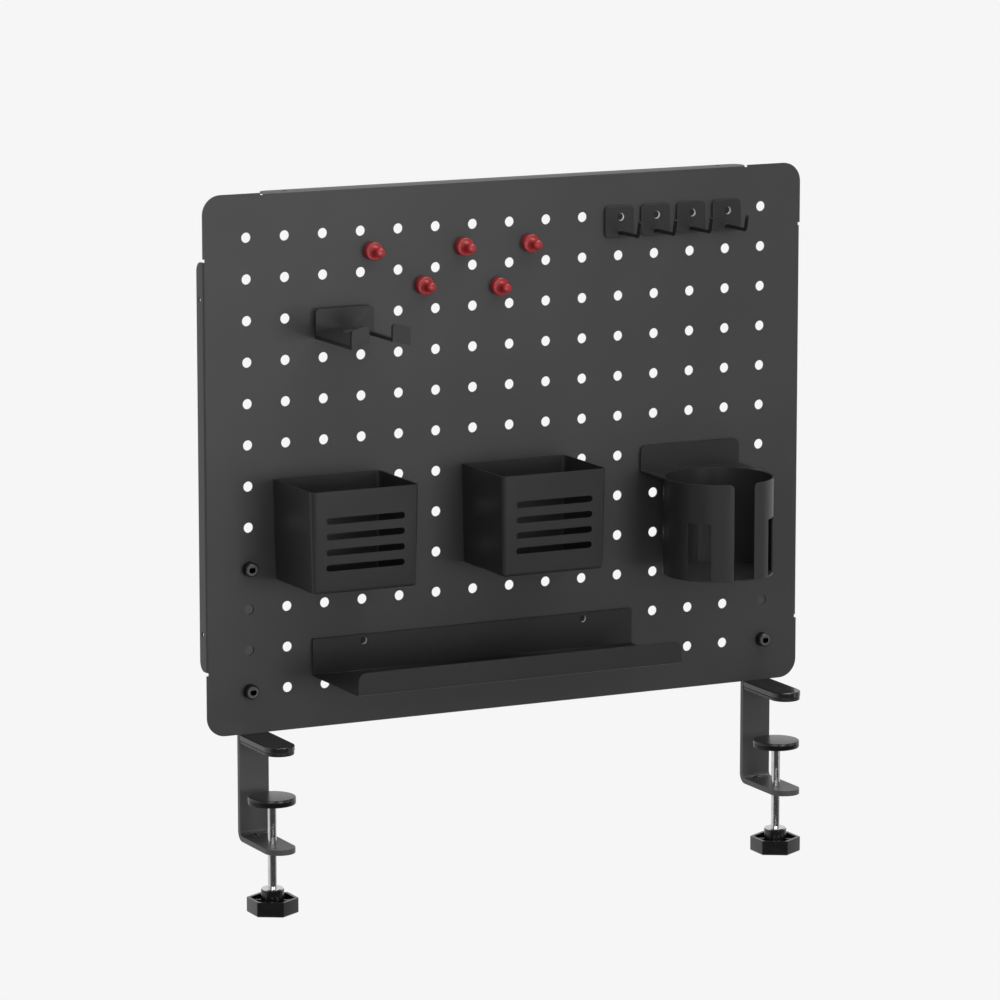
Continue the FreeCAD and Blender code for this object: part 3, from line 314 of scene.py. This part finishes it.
def softRubber(name, colour, roughness, grain=0.00003, change=0.06):
    finish = Finish(name, Metallic=0.0, IOR=1.5)
    finish.tone(colour, shaded(colour, 1.25), scale=80.0, detail=4.0)
    haze = finish.noise(scale=300.0, detail=3.0)
    finish.link(finish.spread(haze, roughness - change, roughness + change), "Roughness")
    fine = finish.noise(scale=1800.0, detail=3.0, roughness=0.65)
    finish.link(finish.bump(fine, distance=grain, strength=0.8), "Normal")
    return finish.material


panelCoat = powderCoat("panelCoat", (0.034, 0.034, 0.0345), 0.45, 0.00004)
clampCoat = powderCoat("clampCoat", (0.011, 0.011, 0.0112), 0.17, 0.00001, shine=0.8)
# painted reflection: the brackets have the jaws' glossy black coat, and this lighter colour stands
# in for the bright reflection on their faces
bracketCoatPaintedSheen = powderCoat("bracketCoatPaintedSheen", (0.056, 0.056, 0.0565), 0.40, 0.00002)
rodCoat = powderCoat("rodCoat", (0.006, 0.006, 0.0062), 0.24, 0.00001)
accessoryCoat = powderCoat("accessoryCoat", (0.0185, 0.0185, 0.0188), 0.40, 0.00003, shine=0.36)
knobPlastic = mouldedPlastic("knobPlastic", (0.007, 0.007, 0.0072), 0.20, 0.000006, shine=0.75)
pinPlastic = mouldedPlastic("pinPlastic", (0.31, 0.017, 0.021), 0.33, 0.000006, coat=0.12)
brightSteel = platedSteel("brightSteel", (0.80, 0.80, 0.81), 0.09, lines=(1, 1, 60), rings=0.05)
magnetSteel = platedSteel("magnetSteel", (0.55, 0.55, 0.56), 0.28, lines=(8, 8, 8), rings=0.35)
darkSteel = blackSteel("darkSteel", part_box("clamp_bolts_left")[0].y, 0.0009)
# the studs' smooth black cover
studSteel = mouldedPlastic("studSteel", (0.005, 0.005, 0.0052), 0.18, 0.000003, shine=0.9)
discCoat = powderCoat("discCoat", (0.006, 0.006, 0.0062), 0.24, 0.00001, shine=0.25)
discRubber = softRubber("discRubber", (0.018, 0.018, 0.0185), 0.22, 0.000005, change=0.015)
padRubber = softRubber("padRubber", (0.014, 0.014, 0.0145), 0.26, 0.000008, change=0.03)
magnetStrip = softRubber("magnetStrip", (0.006, 0.006, 0.006), 0.62)
# painted glint: a pale colour with a soft sheen that stands in for the bright reflection on a
# hole's wall
glintPaint = softRubber("glintPaint", (0.80, 0.80, 0.80), 0.30, 0.000004, change=0.04)
print("finishes ready")


# shared making steps

mergeDistance = 0.000002
flatAngle = 0.6
towardsFront = Matrix.Rotation(math.radians(90), 4, "X")  # +Z of a turned piece becomes -Y


def asPiece(mesh, name, body, material, replaced=(), edge=0.0, segments=2, angle=30.0):
    data = bpy.data.meshes.new(name)
    mesh.to_mesh(data)
    mesh.free()
    piece = bpy.data.objects.new(name, data)
    scene.collection.objects.link(piece)
    data.materials.append(material)
    for face in data.polygons:
        face.use_smooth = True
        face.material_index = 0
    data.set_sharp_from_angle(angle=math.radians(angle))
    if edge:
        bevel = piece.modifiers.new("softEdges", "BEVEL")
        bevel.width, bevel.segments = edge, segments
        bevel.limit_method, bevel.angle_limit = "ANGLE", math.radians(angle)
        bevel.harden_normals = True
        bevel.material = -1
    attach(piece, body)
    if replaced:
        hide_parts(*replaced)
    return piece


def meshOf(node):
    # a merged copy of a CAD solid, with its flat faces made whole
    mesh = bmesh.new()
    mesh.from_mesh(nodes[node].data)
    bmesh.ops.remove_doubles(mesh, verts=mesh.verts, dist=mergeDistance)
    bmesh.ops.dissolve_limit(mesh, angle_limit=math.radians(flatAngle), verts=mesh.verts,
                             edges=mesh.edges, use_dissolve_boundaries=False)
    return mesh


def softened(node, body, material, edge, segments=2, angle=30.0):
    return asPiece(meshOf(node), node + "_eased", body, material, [node],
                   edge, segments, angle)


def turned(profile, steps):
    # profile points are (radius, height) from one end to the other, about +Z
    mesh = bmesh.new()
    points = [mesh.verts.new((radius, 0, height)) for radius, height in profile]
    edges = [mesh.edges.new(pair) for pair in zip(points, points[1:])]
    bmesh.ops.spin(mesh, geom=points + edges, cent=(0, 0, 0), axis=(0, 0, 1), angle=math.tau,
                   steps=steps, use_merge=True)
    bmesh.ops.remove_doubles(mesh, verts=mesh.verts, dist=mergeDistance)
    bmesh.ops.recalc_face_normals(mesh, faces=mesh.faces)
    return mesh


def moved(mesh, place, turn=None):
    matrix = Matrix.Translation(place)
    if turn is not None:
        matrix = matrix @ turn
    bmesh.ops.transform(mesh, matrix=matrix, verts=mesh.verts)
    return mesh


def joinOnto(mesh, part):
    # the part's mesh is added to the first one and cleared away
    data = bpy.data.meshes.new("joined")
    part.to_mesh(data)
    part.free()
    mesh.from_mesh(data)
    bpy.data.meshes.remove(data)


def newVerts(result):
    return [item for item in result["geom"] if isinstance(item, bmesh.types.BMVert)]


def faced(node, material):
    # a CAD solid that keeps its own mesh and takes a finish
    thing = nodes[node]
    thing.data.materials.clear()
    thing.data.materials.append(material)
    for face in thing.data.polygons:
        face.material_index = 0


# board and brackets

board = {"sheetEdge": 0.0004, "sheetAngle": 35.0, "barEdge": 0.0009}


def dressBoard(look):
    softened("pegboard_panel", "board", panelCoat, look["sheetEdge"], 2,
             look["sheetAngle"])
    for side in sides:
        softened("clamp_bracket_" + side, "board", bracketCoatPaintedSheen, look["barEdge"], 3)
    print("board dressed")


# jaws, pads and studs

jaws = {"edge": 0.0011, "padEdge": 0.0007,
        "studShank": 0.0020, "studEdge": 0.00012, "studSteps": 40,
        "studDome": [(0.0020, -0.0026), (0.0035, -0.0026), (0.0035, -0.0021), (0.0031, -0.0012),
                     (0.0022, -0.0004), (0.0010, -0.00006), (0.0006, -0.0006), (0, -0.0007)]}


def dressJaws(look):
    for side in sides:
        softened("upper_jaw_" + side, "board", clampCoat, look["edge"], 4)
        softened("jaw_pad_" + side, "board", padRubber, look["padEdge"], 3)
        low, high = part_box("jaw_stud_" + side)
        centre = (low + high) / 2
        top = high.z
        shank = [(0, low.z - top), (look["studShank"], low.z - top)]
        dome = turned(shank + look["studDome"], look["studSteps"])
        moved(dome, (centre.x, centre.y, top))
        asPiece(dome, "jaw_stud_dome_" + side, "board", studSteel,
                ["jaw_stud_" + side], look["studEdge"], 2)
    print("jaws dressed")


# clamp bolts

bolts = {"head": 0.0065, "headHeight": 0.008, "chamfer": 0.0015, "socket": 0.006,
         "socketDepth": 0.004, "shank": 0.004, "shankLength": 0.010, "tip": 0.0032,
         "tipBevel": 0.0006, "ridges": 36, "ridgeDepth": 0.00018, "edge": 0.0001}


def socketBolt(look):
    # turned head and shank with a six-sided socket, made from the socket's floor outwards
    mesh = bmesh.new()
    head, top, ridges = look["head"], look["socketDepth"], look["ridges"] * 2
    bmesh.ops.create_circle(mesh, cap_ends=True, segments=6, radius=look["socket"] / math.sqrt(3))
    walls = bmesh.ops.extrude_face_region(mesh, geom=[list(mesh.faces)[0]])
    bmesh.ops.translate(mesh, verts=newVerts(walls), vec=(0, 0, top))
    lid = [item for item in walls["geom"] if isinstance(item, bmesh.types.BMFace)]
    bmesh.ops.delete(mesh, geom=lid, context="FACES_ONLY")
    bmesh.ops.create_circle(mesh, cap_ends=False, segments=ridges, radius=head - look["chamfer"],
                            matrix=Matrix.Translation((0, 0, top)))
    ring = [edge for edge in mesh.edges if edge.is_boundary or edge.is_wire]
    bmesh.ops.bridge_loops(mesh, edges=ring)
    under = top - look["headHeight"]
    end = under - look["shankLength"]
    for radius, level in ((head, top - look["chamfer"]), (head, under), (look["shank"], under),
                          (look["shank"], end), (look["tip"], end - look["tipBevel"])):
        edges = [edge for edge in mesh.edges if edge.is_boundary]
        for vert in newVerts(bmesh.ops.extrude_edge_only(mesh, edges=edges)):
            angle = math.atan2(vert.co.y, vert.co.x)
            cut = radius == head and round(angle / math.tau * ridges) % 2
            reach = radius - (look["ridgeDepth"] if cut else 0)
            vert.co = Vector((reach * math.cos(angle), reach * math.sin(angle), level))
    bmesh.ops.holes_fill(mesh, edges=[edge for edge in mesh.edges if edge.is_boundary], sides=0)
    bmesh.ops.recalc_face_normals(mesh, faces=mesh.faces)
    return mesh


def dressBolts(look):
    for side in sides:
        low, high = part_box("clamp_bolts_" + side)
        x = (low.x + high.x) / 2
        both = bmesh.new()
        for z in (low.z + look["head"], high.z - look["head"]):
            # the head's face is socketDepth above the bolt's own zero
            place = (x, low.y + look["socketDepth"], z)
            joinOnto(both, moved(socketBolt(look), place, towardsFront))
        asPiece(both, "socket_bolts_" + side, "board", darkSteel,
                ["clamp_bolts_" + side], look["edge"], 2)
    print("bolts dressed")


# clamp screws, discs and knobs

screws = {"major": 0.0040, "minor": 0.00394, "pitch": 0.00125, "steps": 32, "crest": 0.84,
          "discGap": 0.0002, "neck": 0.0026, "neckFoot": 0.0004, "neckSteps": 32,
          "rivet": 0.0039, "rivetUnder": 0.0012, "rivetEdge": 0.0011, "angle": 25.0,
          "collarEdge": 0.0003}
discs = {"radius": 0.0215, "bore": 0.00276, "pocket": 0.00406, "pocketDepth": 0.0014, "steps": 96,
         "lowerEdge": [(0.0206, 0), (0.0212, 0.0002), (0.0215, 0.0008)],
         "capEdge": [(0.0215, 0.0010), (0.0213, 0.0004), (0.0208, 0.0001), (0.0200, 0)]}
knobs = {"edge": 0.0009}


def threadedRod(look, low, high):
    # one tooth of the thread, swept up the rod and cut square at both ends
    mesh = bmesh.new()
    flank = (1 - look["crest"]) / 2
    tooth = [(look["minor"], 0.0), (look["major"], flank),
             (look["major"], 1 - flank), (look["minor"], 1.0)]
    points = [mesh.verts.new((radius, 0, low - look["pitch"] + part * look["pitch"]))
              for radius, part in tooth]
    edges = [mesh.edges.new(pair) for pair in zip(points, points[1:])]
    turns = math.ceil((high - low) / look["pitch"]) + 2
    bmesh.ops.spin(mesh, geom=points + edges, cent=(0, 0, 0), axis=(0, 0, 1),
                   angle=math.tau * turns, steps=look["steps"] * turns,
                   dvec=(0, 0, look["pitch"] / look["steps"]))
    bmesh.ops.remove_doubles(mesh, verts=mesh.verts, dist=mergeDistance)
    for level, up in ((low, False), (high, True)):
        cut = bmesh.ops.bisect_plane(mesh, geom=mesh.verts[:] + mesh.edges[:] + mesh.faces[:],
                                     plane_co=(0, 0, level), plane_no=(0, 0, 1),
                                     clear_outer=up, clear_inner=not up)
        rim = [item for item in cut["geom_cut"] if isinstance(item, bmesh.types.BMEdge)]
        bmesh.ops.contextual_create(mesh, geom=rim)
    bmesh.ops.recalc_face_normals(mesh, faces=mesh.faces)
    return mesh


def swivelNeck(look, top):
    # the narrow neck and the riveted head that sits in the disc's pocket
    foot = -look["neckFoot"]
    return turned([(0, foot), (look["neck"], foot), (look["neck"], top - look["rivetUnder"]),
                   (look["rivet"], top - look["rivetEdge"]), (look["rivet"], top), (0, top)],
                  look["neckSteps"])


def discPlate(look, thick):
    bore, pocket, floor = look["bore"], look["pocket"], thick - look["pocketDepth"]
    return turned([(bore, 0), *look["lowerEdge"], (look["radius"], thick), (pocket, thick),
                   (pocket, floor), (bore, floor), (bore, 0)], look["steps"])


def discCap(look, rise):
    edge = [(radius, rise - drop) for radius, drop in look["capEdge"]]
    return turned([(0, 0), (look["radius"], 0), *edge, (0, rise)], look["steps"])


def dressScrews(look, discLook, knobLook):
    for side in sides:
        body = side + "_screw"
        low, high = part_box("clamp_screw_" + side)
        discLow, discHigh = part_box("pressure_disc_" + side)
        padLow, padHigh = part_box("disc_pad_" + side)
        centre = Vector(((low.x + high.x) / 2, (low.y + high.y) / 2, 0))
        rod = threadedRod(look, low.z, discLow.z - look["discGap"])
        joinOnto(rod, moved(swivelNeck(look, high.z - discLow.z), (0, 0, discLow.z)))
        moved(rod, centre)
        asPiece(rod, "threaded_rod_" + side, body, brightSteel,
                ["clamp_screw_" + side], 0, 2, look["angle"])

        disc = discPlate(discLook, discHigh.z - discLow.z)
        moved(disc, centre + Vector((0, 0, discLow.z)))
        asPiece(disc, "disc_plate_" + side, side + "_disc", discCoat,
                ["pressure_disc_" + side])
        cap = discCap(discLook, padHigh.z - padLow.z)
        moved(cap, centre + Vector((0, 0, padLow.z)))
        asPiece(cap, "disc_cap_" + side, side + "_disc", discRubber,
                ["disc_pad_" + side])

        softened("knob_collar_" + side, body, brightSteel, look["collarEdge"], 2)
        softened("clamp_knob_" + side, body, knobPlastic, knobLook["edge"], 3)
    print("screws and knobs dressed")


# bins, cup holder, tray and hanger

sheetGoods = {"edge": 0.0005, "hangerEdge": 0.0007}


def dressSheetGoods(look):
    for side in sides:
        softened("pen_box_" + side, side + "_pen_box", accessoryCoat,
                 look["edge"], 2)
        faced("pen_box_magnets_" + side, magnetStrip)
    softened("cup_holder", "cup", accessoryCoat, look["edge"], 2)
    softened("tray", "shelf", accessoryCoat, look["edge"], 2)
    softened("headphone_hanger", "hanger", accessoryCoat, look["hangerEdge"], 3)
    for node in ("cup_holder_magnets", "hanger_magnet"):
        faced(node, magnetStrip)
    print("bins, holder, tray and hanger dressed")


# hooks

hooks = {"numbers": range(1, 5), "plateEdge": 0.0006, "rodEdge": 0.0003, "rodAngle": 40.0,
         "weldRadius": 0.0026, "weldHeight": 0.0013, "weldShoulder": (0.86, 0.45),
         "weldTop": 0.0016, "weldRise": 0.0015, "weldEdge": 0.0002, "weldSteps": 28}


def dressHooks(look):
    wide, tall = look["weldShoulder"]
    radius, height = look["weldRadius"], look["weldHeight"]
    for number in look["numbers"]:
        body = f"hook_{number}"
        softened(f"hook_plate_{number}", body, accessoryCoat,
                 look["plateEdge"], 3)
        softened(f"hook_rod_{number}", body, rodCoat, look["rodEdge"], 2,
                 look["rodAngle"])
        rodLow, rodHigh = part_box(f"hook_rod_{number}")
        plateLow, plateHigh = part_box(f"hook_plate_{number}")
        bead = turned([(0, 0), (radius, 0), (radius * wide, height * tall),
                       (look["weldTop"], height), (0, height)], look["weldSteps"])
        place = ((rodLow.x + rodHigh.x) / 2, plateLow.y, rodLow.z + look["weldRise"])
        moved(bead, place, towardsFront)
        asPiece(bead, f"hook_weld_{number}", body, accessoryCoat, (),
                look["weldEdge"], 2)
    print("hooks dressed")


# magnets behind the hook and tray holes, and painted glints on the holes' walls

# drops are from the plate's top edge, the shift and the reach from its middle
holes = {"hookHole": 0.0035, "hookHoleDrop": 0.0098, "hookHoleShift": 0.0012,
         "trayHole": 0.0033, "trayHoleReach": 0.111, "trayHoleDrop": 0.0058, "traySheet": 0.0012,
         "padRadius": 0.006, "skin": 0.0003, "rim": 0.0007, "wall": 0.0001, "steps": 40}


def pocketBlock(low, high, centre, radius, depth, steps):
    # a block with a round blind hole in its front, made from the front face backwards
    mesh = bmesh.new()
    square = [(low.x, low.z), (high.x, low.z), (high.x, high.z), (low.x, high.z)]
    ring = [(centre.x + radius * math.cos(step * math.tau / steps),
             centre.z + radius * math.sin(step * math.tau / steps)) for step in range(steps)]
    loops = []
    for points in (square, ring):
        verts = [mesh.verts.new((x, low.y, z)) for x, z in points]
        loops.append([mesh.edges.new(pair) for pair in zip(verts, verts[1:] + verts[:1])])
    bmesh.ops.triangle_fill(mesh, use_beauty=True, edges=mesh.edges[:])
    for loop, reach in zip(loops, (high.y - low.y, depth)):
        grown = bmesh.ops.extrude_edge_only(mesh, edges=loop)
        fresh = newVerts(grown)
        bmesh.ops.translate(mesh, verts=fresh, vec=(0, reach, 0))
        rim = [item for item in grown["geom"]
               if isinstance(item, bmesh.types.BMEdge) and set(item.verts) <= set(fresh)]
        bmesh.ops.contextual_create(mesh, geom=rim)
    bmesh.ops.recalc_face_normals(mesh, faces=mesh.faces)
    return mesh


def glintLiner(look, name, body, place, radius, depth):
    # a thin pale liner on a hole's wall: a painted glint, seen as a bright sickle from one side
    inner = radius - look["wall"]
    wall = turned([(radius, 0), (radius, depth), (inner, depth), (inner, 0), (radius, 0)],
                  look["steps"])
    moved(wall, place, towardsFront)
    asPiece(wall, name, body, glintPaint)


def dressMagnets(look, numbers):
    radius, skin, steps = look["hookHole"], look["skin"], look["steps"]
    for number in numbers:
        low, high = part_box(f"hook_magnet_{number}")
        plateLow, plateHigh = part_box(f"hook_plate_{number}")
        body = f"hook_{number}"
        centre = Vector(((plateLow.x + plateHigh.x) / 2 + look["hookHoleShift"], high.y,
                         plateHigh.z - look["hookHoleDrop"]))
        top = Vector((high.x, high.y, plateHigh.z - (low.z - plateLow.z)))
        mesh = pocketBlock(low, top, centre, radius, high.y - low.y - skin, steps)
        asPiece(mesh, f"hook_magnet_block_{number}", body, magnetStrip,
                [f"hook_magnet_{number}"])
        glintLiner(look, f"hook_hole_glint_{number}", body, centre - Vector((0, skin, 0)), radius,
                 high.y - skin - plateLow.y - look["rim"])

    low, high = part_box("tray_magnets")
    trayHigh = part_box("tray")[1]
    mesh = meshOf("tray_magnets")
    radius, thick = look["trayHole"], high.y - low.y
    for side, name in ((-1, "left"), (1, "right")):
        centre = Vector(((low.x + high.x) / 2 + side * look["trayHoleReach"], high.y,
                         trayHigh.z - look["trayHoleDrop"]))
        pad = turned([(0, 0), (look["padRadius"], 0), (look["padRadius"], thick), (radius, thick),
                      (radius, skin), (0, skin)], steps)
        joinOnto(mesh, moved(pad, centre, towardsFront))
        glintLiner(look, "tray_hole_glint_" + name, "shelf", centre - Vector((0, skin, 0)), radius,
                 thick - skin + look["traySheet"] - look["rim"])
    asPiece(mesh, "tray_magnet_strips", "shelf", magnetStrip, ["tray_magnets"])
    print("magnets dressed")


# push pins

pins = {"numbers": range(1, 6), "base": 0.0082, "baseHeight": 0.008, "neck": 0.0032, "head": 0.0044,
        "length": 0.0213, "recess": 0.00605, "recessDepth": 0.0040, "steps": 56, "angle": 50.0}


def pinGrip(look):
    base, tall, neck, head, length = (look[key] for key in
                                      ("base", "baseHeight", "neck", "head", "length"))
    recess = [(0, look["recessDepth"]), (look["recess"], look["recessDepth"]),
              (look["recess"], 0.0)]
    foot = [(base - 0.0004, 0.0), (base, 0.0005), (base, tall - 0.0010),
            (base - 0.0003, tall - 0.0003), (base - 0.0010, tall), (base - 0.0018, tall - 0.0002)]
    waist = [(neck * 1.5, tall + 0.0006), (neck * 1.15, tall + 0.0020), (neck, tall + 0.0042),
             (neck * 1.05, length - head * 1.75)]
    crown = [(head * 0.9, length - head * 1.25), (head, length - head * 0.95),
             (head, length - head * 0.55), (head * 0.92, length - head * 0.28),
             (head * 0.74, length - head * 0.08), (head * 0.45, length), (0, length)]
    return turned(recess + foot + waist + crown, look["steps"])


def dressPins(look):
    for number in look["numbers"]:
        node = f"push_pin_{number}"
        low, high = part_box(node)
        centre = (low + high) / 2
        grip = moved(pinGrip(look), (centre.x, high.y, centre.z), towardsFront)
        asPiece(grip, f"pin_grip_{number}", f"pin_{number}", pinPlastic, [node],
                0, 2, look["angle"])
        faced(f"pin_magnet_{number}", magnetSteel)
    print("pins dressed")


dressBoard(board)
dressJaws(jaws)
dressBolts(bolts)
dressScrews(screws, discs, knobs)
dressSheetGoods(sheetGoods)
dressHooks(hooks)
dressMagnets(holes, hooks["numbers"])
dressPins(pins)

print("all pieces ready")
